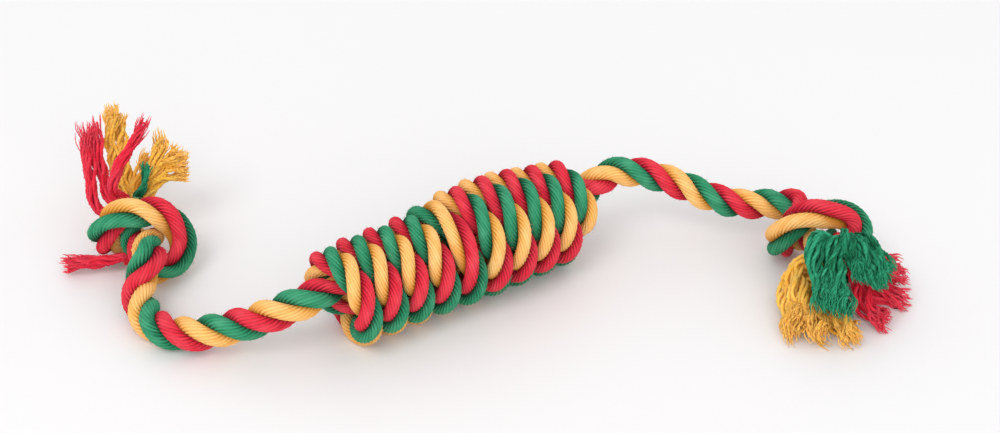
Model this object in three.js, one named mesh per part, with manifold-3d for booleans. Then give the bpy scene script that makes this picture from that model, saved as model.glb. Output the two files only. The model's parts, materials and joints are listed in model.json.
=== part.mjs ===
// Rope dog toy: one three-strand cotton rope. Its middle is tied in a long multiple overhand knot,
// a plain overhand knot closes each end, and past those knots the strands are unlaid into tufts.
// Millimetres, +Z up, lying on z = 0, with the long side along X.

import * as THREE from 'three';
import { mergeVertices } from 'three/addons/utils/BufferGeometryUtils.js';
import Module from 'manifold-3d';

const wasm = await Module();
wasm.setup();

// Rope
const ROPE_DIAMETER = 12;
const ROPE_LAY = 29;
const LAY_START = 115;
// Where the lay is drawn out or tightened: joint, from and to along the rope after it, turns of lay gained
const LAY_SLIPS = [
  ['left_knot_bend', -36, -6, 0.12],
  ['left_arm_swing', 12, 90, -0.1],
  ['left_arm_swing', 520, 660, -1.23],
  ['right_arm_swing', -90, -12, 0.33],
  ['right_knot_bend', 6, 40, -0.33],
];
const STRAND_GAP = 0.6;
const STRAND_SIDES = 5;
const LONGEST_STEP = 4.4;
const SHARPEST_STEP = 26;
const SAMPLES_PER_SPAN = 16;
const WELD = 1e-4;

// Middle knot: turns of squeezed rope round two runs of the same rope
const MIDDLE_TURNS = 10;
const MIDDLE_SQUEEZE = 0.82;
const MIDDLE_CORE_SQUEEZE = 0.7;
const MIDDLE_YAW = 34;
const TURN_GAP = 0.5;
const RUN_GAP = 0.6;
const LEAD_REACH = 4.5;
const POINTS_PER_TURN = 12;
const CORE_STEPS = 8;

// Lead from the core out to the arm: share of the way, squeeze
const LEAD = [
  [0.35, 0.7],
  [0.7, 0.8],
  [1, 1],
];

// Each end of the winding tucks into the bore: angle round the axis, share of the way in, share of a pitch
const TUCK = [
  [135, 0.1, 0],
  [180, 0.36, 0.02],
  [215, 0.72, 0.28],
  [248, 0.93, 0.6],
];

// End knots: half of an overhand knot from the top of its turn to its lead, in rope diameters,
// with the squeeze of the rope at each point
const KNOT_HALF = [
  [0, 0, 1.02, 0.94],
  [-0.2, -0.8, 0.78, 0.94],
  [-0.5, -1.1, 0.02, 0.92],
  [-0.84, -0.76, -0.5, 0.82],
  [-0.98, -0.12, -0.57, 0.68],
  [-0.56, 0.1, -0.42, 0.62],
  [0, 0.36, 0, 0.6],
  [0.54, 0.12, 0.3, 0.68],
  [1.06, 0, 0.34, 0.95],
];
const KNOT_LEAD = 1.45;
const TASSEL_LEAD = 1.3;
const TASSEL_SQUEEZE = 0.85;
const LEFT_KNOT = { centre: [-113.5, 15.4, 12.4], heading: [0.33, -0.944, 0] };
const RIGHT_KNOT = { centre: [131.5, 14.9, 12.3], heading: [0.36, -0.933, 0] };

// Arms: rope centreline outside the knots, from left to right, with the points where it bends most
const LEFT_ARM = [
  [-111.3, -9.2, 9.6, 'left_knot_bend'],
  [-109.2, -17, 6.5],
  [-102.6, -27.6, 6.4],
  [-91, -33, 7.4, 'left_arm_lift'],
  [-73, -34, 12],
  [-60, -34.4, 17.4],
];
const RIGHT_ARM = [
  [57, 37.6, 26.6],
  [68, 38, 26.4],
  [81, 36.2, 23, 'right_arm_lift'],
  [94, 34, 18.2],
  [105, 34.4, 15],
  [114.4, 35, 14.6, 'right_knot_bend'],
];

// Ball and cup where two stretches of rope meet
const BALL_MARGIN = 1;
const BALL_DETAIL = 3;
const JOINT_GAP = 0.3;

// Tufts: root bead, then bundles of yarn, each with a mid point, a tip and a thickness.
// Left tufts count along, across and in front of their tassel; right ones in the toy's own axes.
// The low red tuft has a root of its own, where it comes out of the left knot.
const LEFT_TASSEL = { along: [0, 0.74, 0.673], across: [1, 0, 0] };
const LEFT_BEAD = 1.5;
const LEFT_RING = 3.4;
const LEFT_TUFTS = [
  {
    name: 'left_tuft_yellow_right', colour: 'yellow', at: 0, toward: [1, 0, 0],
    bundles: [
      [[9.5, 8, 0], [13.5, 17.5, 0], 5.6],
      [[11, 7.6, 1], [20, 16, 1], 5.6],
      [[12, 7.2, 1.4], [26, 9.4, 0.6], 5],
    ],
  },
  {
    name: 'left_tuft_green', colour: 'green', at: 60, toward: [0.5, -0.59, 0.64],
    bundles: [[[9, 4.2, 5.2], [16, 7, 7], 4]],
  },
  {
    name: 'left_tuft_red_right', colour: 'red', at: 120, toward: [0, -0.67, 0.74],
    bundles: [[[9, -6.6, 7.6], [31, 3.6, 10], 4.8]],
  },
  {
    name: 'left_tuft_red_left', colour: 'red', at: 180, toward: [-1, 0, 0],
    bundles: [[[-2, -12.4, -2.5], [31, -20, 2], 6.6], [[1.5, -10.6, -4], [33, -17, -1], 6.4]],
  },
  {
    name: 'left_tuft_red_low', colour: 'red', root: [-19.5, -0.8, 4.9], toward: [0, -0.97, 0.25],
    bundles: [[[-21, -9, 4], [-22.5, -20.5, 4.4], 4.6], [[-20.4, -9, 2.4], [-20, -22, 1.6], 4]],
  },
  {
    name: 'left_tuft_yellow_top', colour: 'yellow', at: 300, toward: [0, 0.67, -0.3],
    bundles: [
      [[15, -8.6, -7], [36, -12, -7], 7],
      [[14, -3.4, -8.6], [36, -6.6, -8.6], 7],
      [[11, 0.6, -7.6], [20, 2.6, -7.6], 6],
    ],
  },
];
const RIGHT_BEAD = 2;
const RIGHT_RING = 3;
const RIGHT_TUFTS = [
  {
    name: 'right_tuft_red', colour: 'red', at: 180, toward: [0.8, 0.6, 0],
    bundles: [
      [[148.6, 2, 9.6], [159, 9, 6.6], 6.4],
      [[147.6, -0.6, 8], [162, 4, 5], 7.2],
      [[147, -6, 7], [162, -9, 4], 7.8],
      [[145, -11, 6.4], [154, -24, 4], 7.6],
    ],
  },
  {
    name: 'right_tuft_green', colour: 'green', at: 90, toward: [0, 0, 1],
    bundles: [
      [[129.6, -4, 25.6], [129.6, -26, 14.6], 8],
      [[134.4, -5, 25.2], [135, -28, 13.6], 8],
      [[140.4, -4.6, 24.6], [150, -17.5, 16], 8.6],
      [[142, -2.6, 24], [153, -11, 17], 8],
      [[137.6, -4.6, 24.2], [142.4, -20.5, 15], 6.6],
    ],
  },
  {
    name: 'right_tuft_yellow', colour: 'yellow', at: 0, toward: [1, 0, 0.15],
    bundles: [
      [[122.6, -3, 8], [119.5, -28, 4], 7.8],
      [[125.6, -5.6, 7.6], [128, -31.5, 4], 8],
      [[130, -9.4, 6.6], [137.5, -30.5, 4], 7.8],
      [[124.5, -3.5, 14.6], [122.5, -25, 6.2], 6.6],
    ],
  },
];
const BUNDLE_SIDES = 4;
const BUNDLE_STEPS = 5;
const BUNDLE_ROOT = 0.8;
const BUNDLE_TIP = 0.8;
const BUNDLE_SIDE = [0.31, 0.57, 0.76];
const BEAD_DETAIL = 1;

const COTTON = {
  red: { color: '#d81e3c', roughness: 0.9 },
  yellow: { color: '#f4ad48', roughness: 0.9 },
  green: { color: '#1f8c62', roughness: 0.9 },
};
const STRAND_ORDER = ['red', 'green', 'yellow'];

// Sizes that follow from the ones above
const ROPE_RADIUS = ROPE_DIAMETER / 2;
const STRAND_OFFSET = (ROPE_DIAMETER + STRAND_GAP) / (2 + Math.sqrt(3));
const STRAND_RADIUS = ROPE_RADIUS - STRAND_OFFSET;
const TURN_RADIUS = ROPE_RADIUS * MIDDLE_SQUEEZE;
const RUN_RADIUS = ROPE_RADIUS * MIDDLE_CORE_SQUEEZE;
const RUN_OFFSET = RUN_RADIUS + RUN_GAP / 2;
const WINDING_RADIUS = RUN_OFFSET + RUN_RADIUS + RUN_GAP + TURN_RADIUS;
const PITCH = 2 * TURN_RADIUS + TURN_GAP;
const CORE_HALF = (MIDDLE_TURNS / 2 - 1) * PITCH;
const MOUTH = (MIDDLE_TURNS / 2 - 0.5) * PITCH + TURN_RADIUS;
const FLAT_DEPTH = ROPE_DIAMETER / 10;
const AXIS_HEIGHT = WINDING_RADIUS + TURN_RADIUS - FLAT_DEPTH;
const BALL_RADIUS = ROPE_RADIUS + BALL_MARGIN;

const vector = (values) => new THREE.Vector3(values[0], values[1], values[2]);
const radians = THREE.MathUtils.degToRad;
const blend = THREE.MathUtils.lerp;

// Rope route: every point has a place, a squeeze and, where two stretches meet, the joint's name

function around(angle, radius, x, squeeze) {
  const turn = radians(angle);
  return { place: new THREE.Vector3(x, -radius * Math.cos(turn), radius * Math.sin(turn)), squeeze };
}

// A knot is the same from either end: its first half is its second one, turned half round and run backwards
function wholeKnot(half) {
  const first = half.slice(1).reverse().map(({ place, squeeze }) => (
    { place: new THREE.Vector3(-place.x, -place.y, place.z), squeeze }));
  return [...first, ...half];
}

function middleHalf() {
  const half = [];
  const regular = (turn) => (MIDDLE_TURNS / 2 - turn) * PITCH;
  const steps = Math.round((MIDDLE_TURNS - 1) / 2 * POINTS_PER_TURN);
  for (let i = 0; i <= steps; i += 1) {
    const turn = MIDDLE_TURNS / 2 + i / POINTS_PER_TURN;
    half.push(around(270 + 360 * turn, WINDING_RADIUS, regular(turn), MIDDLE_SQUEEZE));
  }
  for (const [angle, inward, back] of TUCK) {
    const x = regular(MIDDLE_TURNS - (270 - angle) / 360) + back * PITCH;
    const squeeze = blend(MIDDLE_SQUEEZE, MIDDLE_CORE_SQUEEZE, inward);
    half.push(around(angle, blend(WINDING_RADIUS, RUN_OFFSET, inward), x, squeeze));
  }
  for (let i = 0; i <= CORE_STEPS; i += 1) {
    const share = i / CORE_STEPS;
    const x = blend(-CORE_HALF, CORE_HALF, share);
    half.push(around(270 + 180 * share, RUN_OFFSET, x, MIDDLE_CORE_SQUEEZE));
  }
  const lead = MOUTH + LEAD_REACH;
  for (const [share, squeeze] of LEAD) {
    half.push(around(90, RUN_OFFSET, blend(CORE_HALF, lead, share), squeeze));
  }
  return half;
}

function middleKnot() {
  const yaw = new THREE.Matrix4().makeRotationZ(radians(MIDDLE_YAW)).setPosition(0, 0, AXIS_HEIGHT);
  const knot = wholeKnot(middleHalf());
  knot.forEach((point) => point.place.applyMatrix4(yaw));
  knot[0].joint = 'left_arm_swing';
  knot[knot.length - 1].joint = 'right_arm_swing';
  return knot;
}

// The end that carries the tassel stays drawn in, the other one swells to the full rope
function endKnot({ centre, heading }, tasselFirst) {
  const half = KNOT_HALF.map(([x, y, z, squeeze]) => (
    { place: new THREE.Vector3(x, y, z).multiplyScalar(ROPE_DIAMETER), squeeze }));
  const lift = half[half.length - 1].place.z;
  half.push({ place: new THREE.Vector3(KNOT_LEAD * ROPE_DIAMETER, 0, lift), squeeze: 1 });
  const knot = wholeKnot(half);
  const tassel = knot[tasselFirst ? 0 : knot.length - 1];
  tassel.squeeze = TASSEL_SQUEEZE;
  tassel.place.x = (tasselFirst ? -1 : 1) * TASSEL_LEAD * ROPE_DIAMETER;
  const ahead = vector(heading).normalize();
  const side = new THREE.Vector3(0, 0, 1).cross(ahead).normalize();
  const turn = new THREE.Matrix4().makeBasis(ahead, side, ahead.clone().cross(side));
  turn.setPosition(vector(centre));
  knot.forEach((point) => point.place.applyMatrix4(turn));
  return knot;
}

const armPoints = (arm) => arm.map(([x, y, z, joint]) => (
  { place: new THREE.Vector3(x, y, z), squeeze: 1, joint }));

const route = [
  ...endKnot(LEFT_KNOT, true),
  ...armPoints(LEFT_ARM),
  ...middleKnot(),
  ...armPoints(RIGHT_ARM),
  ...endKnot(RIGHT_KNOT, false),
];

// Stations along the rope: closer together where it bends sharply, and one at every joint

function ropeStations() {
  const curve = new THREE.CatmullRomCurve3(route.map((point) => point.place), false, 'centripetal');
  const samples = [];
  const last = (route.length - 1) * SAMPLES_PER_SPAN;
  for (let i = 0; i <= last; i += 1) {
    const before = Math.min(Math.floor(i / SAMPLES_PER_SPAN), route.length - 2);
    const share = i / SAMPLES_PER_SPAN - before;
    samples.push({
      place: curve.getPoint(i / last),
      squeeze: blend(route[before].squeeze, route[before + 1].squeeze, share),
      joint: i % SAMPLES_PER_SPAN === 0 ? route[i / SAMPLES_PER_SPAN].joint : undefined,
    });
  }
  samples.forEach((sample, i) => {
    const next = samples[Math.min(i + 1, last)].place;
    sample.ahead = next.clone().sub(samples[Math.max(i - 1, 0)].place).normalize();
  });
  let travelled = 0;
  let side = new THREE.Vector3(0, 0, 1).cross(samples[0].ahead).normalize();
  const stations = [];
  samples.forEach((sample, i) => {
    if (i > 0) {
      travelled += sample.place.distanceTo(samples[i - 1].place);
    }
    side = side.clone().addScaledVector(sample.ahead, -side.dot(sample.ahead)).normalize();
    Object.assign(sample, { travelled, side, upward: sample.ahead.clone().cross(side) });
    const previous = stations[stations.length - 1];
    const due = !previous || sample.joint || i === last
      || travelled - previous.travelled >= LONGEST_STEP
      || sample.ahead.angleTo(previous.ahead) >= radians(SHARPEST_STEP);
    if (due) {
      stations.push(sample);
    }
  });
  return stations;
}

const stations = ropeStations();

const joints = new Map();
for (const station of stations) {
  if (station.joint) {
    joints.set(station.joint, station);
  }
}

// Turns of lay from the start of the rope
function layTurns({ travelled }) {
  let turns = travelled / ROPE_LAY;
  for (const [joint, first, last, gained] of LAY_SLIPS) {
    const past = travelled - joints.get(joint).travelled;
    turns += gained * THREE.MathUtils.smoothstep(past, first, last);
  }
  return turns;
}

// Strand rings: the three strands keep their places in the rope and turn together with its lay
function strandRing(station, strand) {
  const own = radians(LAY_START) + 2 * Math.PI * (layTurns(station) + strand / STRAND_ORDER.length);
  const ring = [];
  for (let i = 0; i < STRAND_SIDES; i += 1) {
    const corner = own + 2 * Math.PI * i / STRAND_SIDES;
    const along = STRAND_OFFSET * Math.cos(own) + STRAND_RADIUS * Math.cos(corner);
    const across = STRAND_OFFSET * Math.sin(own) + STRAND_RADIUS * Math.sin(corner);
    ring.push(station.place.clone()
      .addScaledVector(station.side, along * station.squeeze)
      .addScaledVector(station.upward, across * station.squeeze));
  }
  return ring;
}

// Closed tube through a list of rings with as many corners each
function tube(rings) {
  const sides = rings[0].length;
  const index = [];
  for (let ring = 0; ring + 1 < rings.length; ring += 1) {
    for (let i = 0; i < sides; i += 1) {
      const a = ring * sides + i;
      const b = ring * sides + (i + 1) % sides;
      index.push(a, b, b + sides, a, b + sides, a + sides);
    }
  }
  const end = (rings.length - 1) * sides;
  for (let i = 1; i + 1 < sides; i += 1) {
    index.push(0, i + 1, i, end, end + i, end + i + 1);
  }
  const geometry = new THREE.BufferGeometry().setFromPoints(rings.flat());
  geometry.setIndex(index);
  return geometry;
}

// Solids for cuts and joins

function solid(geometry) {
  const plain = geometry.clone();
  plain.deleteAttribute('normal');
  plain.deleteAttribute('uv');
  const merged = mergeVertices(plain, WELD);
  return new wasm.Manifold(new wasm.Mesh({
    numProp: 3,
    vertProperties: new Float32Array(merged.getAttribute('position').array),
    triVerts: new Uint32Array(merged.index.array),
  }));
}

function shape(body) {
  const mesh = body.getMesh();
  const geometry = new THREE.BufferGeometry();
  geometry.setAttribute('position', new THREE.BufferAttribute(mesh.vertProperties, 3));
  geometry.setIndex(new THREE.BufferAttribute(mesh.triVerts, 1));
  return geometry;
}

const ball = (centre, radius, detail) => (
  solid(new THREE.IcosahedronGeometry(radius, detail).translate(centre.x, centre.y, centre.z)));

// Everything past a joint except the ball itself
function pastBall(place, outward) {
  const size = 4 * BALL_RADIUS;
  const block = new THREE.BoxGeometry(size, size, size).translate(0, 0, size / 2);
  const turn = new THREE.Quaternion().setFromUnitVectors(new THREE.Vector3(0, 0, 1), outward);
  block.applyQuaternion(turn).translate(place.x, place.y, place.z);
  return solid(block).subtract(ball(place, BALL_RADIUS, BALL_DETAIL));
}

// Stretches of rope between joints: the one nearer the middle has the ball, the other one the cup
const STRETCHES = [
  { name: 'left_knot', to: 'left_knot_bend' },
  { name: 'left_arm_outer', from: 'left_knot_bend', ballFrom: true, to: 'left_arm_lift' },
  { name: 'left_arm_inner', from: 'left_arm_lift', ballFrom: true, to: 'left_arm_swing' },
  {
    name: 'middle_knot',
    from: 'left_arm_swing', ballFrom: true, to: 'right_arm_swing', ballTo: true, flat: true,
  },
  { name: 'right_arm_inner', from: 'right_arm_swing', to: 'right_arm_lift', ballTo: true },
  { name: 'right_arm_outer', from: 'right_arm_lift', to: 'right_knot_bend', ballTo: true },
  { name: 'right_knot', from: 'right_knot_bend' },
];

function stretchStations({ from, to, ballFrom, ballTo }) {
  const reach = BALL_RADIUS + LONGEST_STEP;
  const start = from ? joints.get(from).travelled - (ballFrom ? reach : 0) : -Infinity;
  const stop = to ? joints.get(to).travelled + (ballTo ? reach : 0) : Infinity;
  return stations.filter(({ travelled }) => travelled >= start && travelled <= stop);
}

function stretchCuts({ from, to, ballFrom, ballTo, flat }) {
  const cuts = [];
  const end = (name, isBall, sign) => {
    if (name) {
      const { place, ahead } = joints.get(name);
      cuts.push(isBall
        ? pastBall(place, ahead.clone().multiplyScalar(sign))
        : ball(place, BALL_RADIUS + JOINT_GAP, BALL_DETAIL));
    }
  };
  end(from, ballFrom, -1);
  end(to, ballTo, 1);
  if (flat) {
    const wide = 4 * MOUTH;
    cuts.push(solid(new THREE.BoxGeometry(wide, wide, wide).translate(0, 0, -wide / 2)));
  }
  return cuts;
}

// Least gap of the rope to itself, measured on the corners of its strands
function leastGap() {
  const points = stations.flatMap((station) => STRAND_ORDER.flatMap((_, strand) => (
    strandRing(station, strand).map((corner) => ({ corner, travelled: station.travelled })))));
  const apart = 3 * ROPE_RADIUS;
  let least = Infinity;
  for (let i = 0; i < points.length; i += 1) {
    for (let j = i + 1; j < points.length; j += 1) {
      if (points[j].travelled - points[i].travelled > apart) {
        least = Math.min(least, points[i].corner.distanceToSquared(points[j].corner));
      }
    }
  }
  return Math.sqrt(least);
}

// Tufts

function bundle(root, rootRadius, middle, tip, thickness) {
  const curve = new THREE.CatmullRomCurve3([root, middle, tip], false, 'centripetal');
  const frames = [];
  let side = vector(BUNDLE_SIDE);
  for (let i = 0; i <= BUNDLE_STEPS; i += 1) {
    const share = i / BUNDLE_STEPS;
    const ahead = curve.getTangent(share);
    side = side.clone().addScaledVector(ahead, -side.dot(ahead)).normalize();
    const full = thickness / 2;
    const swell = share < 0.5
      ? blend(rootRadius, full, share * 2)
      : blend(full, full * BUNDLE_TIP, share * 2 - 1);
    const upward = ahead.clone().cross(side);
    const ring = [];
    for (let k = 0; k < BUNDLE_SIDES; k += 1) {
      const corner = 2 * Math.PI * k / BUNDLE_SIDES;
      ring.push(curve.getPoint(share)
        .addScaledVector(side, swell * Math.cos(corner))
        .addScaledVector(upward, swell * Math.sin(corner)));
    }
    frames.push(ring);
  }
  return tube(frames);
}

// A tuft hangs on its bead, which sits against the end of its strand and lets it bend outward
function tuft(spec, root, bead, toToy) {
  let body = ball(root, bead, BEAD_DETAIL);
  for (const [middle, tip, thickness] of spec.bundles) {
    body = body.add(solid(bundle(root, bead * BUNDLE_ROOT, toToy(middle), toToy(tip), thickness)));
  }
  return shape(body);
}

// Assembly: each body is a group that sits at its own joint, inside the body that carries it

const toy = new THREE.Group();
toy.name = 'rope_dog_toy';

function bodyGroup(parent, name, place) {
  const group = new THREE.Group();
  group.name = name;
  parent.add(group);
  group.position.copy(parent.worldToLocal(place.clone()));
  group.updateWorldMatrix(true, false);
  return group;
}

function addPiece(group, name, geometry, colour) {
  const origin = group.getWorldPosition(new THREE.Vector3());
  geometry.translate(-origin.x, -origin.y, -origin.z);
  geometry.computeVertexNormals();
  const cotton = new THREE.MeshStandardMaterial({ ...COTTON[colour], metalness: 0 });
  const piece = new THREE.Mesh(geometry, cotton);
  piece.name = name;
  group.add(piece);
}

function addStretch(group, stretch) {
  const cuts = stretchCuts(stretch);
  const own = stretchStations(stretch);
  STRAND_ORDER.forEach((colour, strand) => {
    let body = solid(tube(own.map((station) => strandRing(station, strand))));
    cuts.forEach((cut) => {
      body = body.subtract(cut);
    });
    addPiece(group, `${stretch.name}_${colour}`, shape(body), colour);
  });
}

const stretchNamed = (name) => STRETCHES.find((stretch) => stretch.name === name);

function addArm(side, parent) {
  const inner = bodyGroup(parent, `${side}_arm_swing`, joints.get(`${side}_arm_swing`).place);
  addStretch(inner, stretchNamed(`${side}_arm_inner`));
  const outer = bodyGroup(inner, `${side}_arm_lift`, joints.get(`${side}_arm_lift`).place);
  addStretch(outer, stretchNamed(`${side}_arm_outer`));
  const knot = bodyGroup(outer, `${side}_knot_bend`, joints.get(`${side}_knot_bend`).place);
  addStretch(knot, stretchNamed(`${side}_knot`));
  return knot;
}

function addTassel(knot, specs, end, outward, across, bead, ring, toToy) {
  const front = across.clone().cross(outward).normalize();
  const beside = outward.clone().cross(front);
  for (const spec of specs) {
    const at = radians(spec.at ?? 0);
    const root = spec.root ? toToy(spec.root) : end.clone()
      .addScaledVector(outward, bead + JOINT_GAP)
      .addScaledVector(beside, ring * Math.cos(at))
      .addScaledVector(front, ring * Math.sin(at));
    const group = bodyGroup(knot, `${spec.name}_bend`, root);
    const aim = toToy(spec.bundles[0][1]).sub(root).normalize();
    group.userData.axis = aim.cross(vector(spec.toward)).normalize();
    addPiece(group, spec.name, tuft(spec, root, bead, toToy), spec.colour);
  }
}

const middle = bodyGroup(toy, 'middle_knot', new THREE.Vector3(0, 0, AXIS_HEIGHT));
addStretch(middle, stretchNamed('middle_knot'));
const leftKnot = addArm('left', middle);
const rightKnot = addArm('right', middle);

const leftEnd = stations[0];
const leftAlong = vector(LEFT_TASSEL.along).normalize();
const leftAcross = vector(LEFT_TASSEL.across);
const leftFront = leftAcross.clone().cross(leftAlong);
const leftPoint = ([along, across, front]) => leftEnd.place.clone()
  .addScaledVector(leftAlong, along)
  .addScaledVector(leftAcross, across)
  .addScaledVector(leftFront, front);
const leftOutward = leftEnd.ahead.clone().negate();
addTassel(leftKnot, LEFT_TUFTS, leftEnd.place, leftOutward, leftAcross, LEFT_BEAD, LEFT_RING, leftPoint);

const rightEnd = stations[stations.length - 1];
const rightOut = rightEnd.ahead;
const rightAcross = rightOut.clone().cross(new THREE.Vector3(0, 0, 1)).normalize();
addTassel(rightKnot, RIGHT_TUFTS, rightEnd.place, rightOut, rightAcross, RIGHT_BEAD, RIGHT_RING, vector);

// Stand the toy on z = 0 with its box centred on the Z axis
toy.updateMatrixWorld(true);
const box = new THREE.Box3().setFromObject(toy, true);
const centre = box.getCenter(new THREE.Vector3());
toy.position.set(-centre.x, -centre.y, -box.min.z);
toy.updateMatrixWorld(true);

console.log(`rope ${stations[stations.length - 1].travelled.toFixed(0)} mm along its middle,`
  + ` least gap to itself ${leastGap().toFixed(2)} mm`);

export default toy;
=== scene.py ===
"""Looks of the rope dog toy: three-strand cotton rope, knotted, with frayed tufts at both ends.

The rope follows one line through its knots and arms, and its strands and tufts grow along such lines.
Lengths of the object are written in millimetres and turned to metres where a mesh is made.
"""
import json
import math

import bpy
import numpy as np
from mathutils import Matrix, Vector


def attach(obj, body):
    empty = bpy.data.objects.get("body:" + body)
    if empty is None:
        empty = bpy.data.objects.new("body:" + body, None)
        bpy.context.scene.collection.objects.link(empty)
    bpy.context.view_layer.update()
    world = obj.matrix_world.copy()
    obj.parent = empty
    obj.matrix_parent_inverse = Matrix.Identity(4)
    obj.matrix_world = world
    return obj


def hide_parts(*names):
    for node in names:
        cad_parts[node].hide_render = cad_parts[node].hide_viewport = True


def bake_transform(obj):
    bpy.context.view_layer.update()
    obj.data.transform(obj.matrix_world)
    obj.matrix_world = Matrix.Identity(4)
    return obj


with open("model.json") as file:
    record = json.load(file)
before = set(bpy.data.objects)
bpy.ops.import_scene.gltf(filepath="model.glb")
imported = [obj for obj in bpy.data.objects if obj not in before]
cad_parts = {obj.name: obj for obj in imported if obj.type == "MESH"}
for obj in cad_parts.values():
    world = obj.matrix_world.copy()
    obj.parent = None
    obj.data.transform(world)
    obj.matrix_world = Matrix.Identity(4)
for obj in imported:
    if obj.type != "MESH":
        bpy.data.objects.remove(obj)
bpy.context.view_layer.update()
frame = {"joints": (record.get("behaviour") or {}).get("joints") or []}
MM = 0.001

# Rope: three strands laid round each other, one turn in each lay
ROPE_DIAMETER = 12.0
ROPE_LAY = 29.0
LAY_START = math.radians(115)
STRAND_ORDER = ("red", "green", "yellow")
# Where the lay is tightened or drawn out: a joint, where along the rope past it this starts and stops
# (below 0 is before the joint), and the turns that the lay gains
LAY_SLIPS = (
    ("left_knot_bend", -150, -122, 0.46),
    ("left_knot_bend", -120, -92, -0.46),
    ("left_knot_bend", -86, -58, -0.36),
    ("left_knot_bend", -54, -28, 0.48),
    ("left_knot_bend", -36, -6, 0.12),
    ("left_knot_bend", -16, 0, -0.12),
    ("left_arm_swing", 12, 90, -0.1),
    ("left_arm_swing", 520, 660, -1.23),
    ("right_arm_swing", -90, -12, 0.33),
    ("right_knot_bend", 6, 40, -0.33),
    ("right_knot_bend", 42, 72, 0.24),
    ("right_knot_bend", 70, 86, -0.26),
    ("right_knot_bend", 84, 112, -0.32),
    ("right_knot_bend", 114, 140, 0.34),
)
# From the rope's middle to a strand's, a strand's radius, and the step between the rings of its mesh
STRAND_OFFSET = 3.28
STRAND_RADIUS = 2.9
RING_STEP = 1.05

# Middle knot: turns of the rope over two runs of the same rope, where a squeeze is the share of its
# thickness that the rope keeps
MIDDLE_TURNS = 10
MIDDLE_SQUEEZE = 0.82
MIDDLE_CORE_SQUEEZE = 0.7
MIDDLE_YAW = math.radians(34)
TURN_GAP = 0.5
RUN_GAP = 0.6
PRESSED_FLAT = 1.2
LEAD_REACH = 4.5
POINTS_PER_TURN = 12
CORE_STEPS = 8
# Out of the bore to the arm: share of the way, squeeze
LEAD = ((0.35, 0.7), (0.7, 0.8), (1, 1))
# From the winding into the bore: angle about the axis, share of the way in, pitches back along the axis
TUCK = ((135, 0.1, 0), (180, 0.36, 0.02), (215, 0.72, 0.28), (248, 0.93, 0.6))
# The winding is fuller right of its middle: how much its radius gains, where along its axis,
# and how far this reaches to each side
SWELL = 2.4
SWELL_PLACE = 14.0
SWELL_REACH = 36.0

# End knots: half of an overhand knot as x, y and z in rope diameters and the squeeze there
KNOT_HALF = (
    (0, 0, 1.02, 0.94),
    (-0.2, -0.8, 0.78, 0.94),
    (-0.5, -1.1, 0.02, 0.92),
    (-0.84, -0.76, -0.5, 0.82),
    (-0.98, -0.12, -0.57, 0.68),
    (-0.56, 0.1, -0.42, 0.62),
    (0, 0.36, 0, 0.6),
    (0.54, 0.12, 0.3, 0.68),
    (1.06, 0, 0.34, 0.95),
)
# From the knot's centre to its last point on the arm's side and on the tassel's side, in rope diameters
KNOT_LEAD = 1.45
TASSEL_LEAD = 1.3
TASSEL_SQUEEZE = 0.85
# Centre and heading of each
LEFT_KNOT = ((-113.5, 15.4, 12.4), (0.33, -0.944, 0))
RIGHT_KNOT = ((131.5, 14.9, 12.3), (0.36, -0.933, 0))

# Arms from left to right: points, with the joint's name where the rope bends
LEFT_ARM = (
    (-111.3, -9.2, 9.6, "left_knot_bend"),
    (-109.2, -17, 6.5, None),
    (-102.6, -27.6, 6.4, None),
    (-91, -33, 7.4, "left_arm_lift"),
    (-73, -34, 12, None),
    (-60, -34.4, 17.4, None),
)
RIGHT_ARM = (
    (57, 37.6, 26.6, None),
    (68, 38, 26.4, None),
    (81, 36.2, 23, "right_arm_lift"),
    (94, 34, 18.2, None),
    (105, 34.4, 15, None),
    (114.4, 35, 14.6, "right_knot_bend"),
)
# The right arm looks a little thinner in the photograph
RIGHT_ARM_SQUEEZE = 0.92

# Tufts: colour, crimp of the yarns and bundles, each with a mid point, a tip and a thickness.
# Left ones count along, across and in front of their tassel, right ones in the toy's own axes.
LEFT_ALONG = (0, 0.74, 0.673)
LEFT_ACROSS = (1, 0, 0)
LEFT_TUFTS = {
    "left_tuft_yellow_right": ("yellow", 0.9, (
        ((9.5, 8, 0), (13.5, 17.5, 0), 5.6),
        ((11, 7.6, 1), (20, 16, 1), 5.6),
        ((12, 7.2, 1.4), (26, 9.4, 0.6), 5),
    )),
    "left_tuft_green": ("green", 0.5, (((7, 4.4, 5.2), (12, 5.4, 7), 3.8),)),
    "left_tuft_red_right": ("red", 0.3, (((5.4, -6.4, 7.6), (28.6, 4.2, 10), 4.8),)),
    "left_tuft_red_left": ("red", 0.45, (
        ((-1, -12.8, -2.5), (29.6, -19.4, 1.4), 5.4),
        ((4.4, -9.8, -4), (31.4, -17, -1), 5.6),
    )),
    "left_tuft_red_low": ("red", 0.5, (
        ((-21, -9, 4), (-22.5, -20.5, 4.4), 4.6),
        ((-20.4, -9, 2.4), (-20, -22, 1.6), 4),
    )),
    "left_tuft_yellow_top": ("yellow", 0.9, (
        ((15, -8.6, -7), (38.4, -12, -7), 5.4),
        ((14, -4.6, -8.6), (38.4, -9.4, -8.6), 5.4),
        ((11, 0.6, -7.6), (20, 2.6, -7.6), 6),
    )),
}
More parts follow.
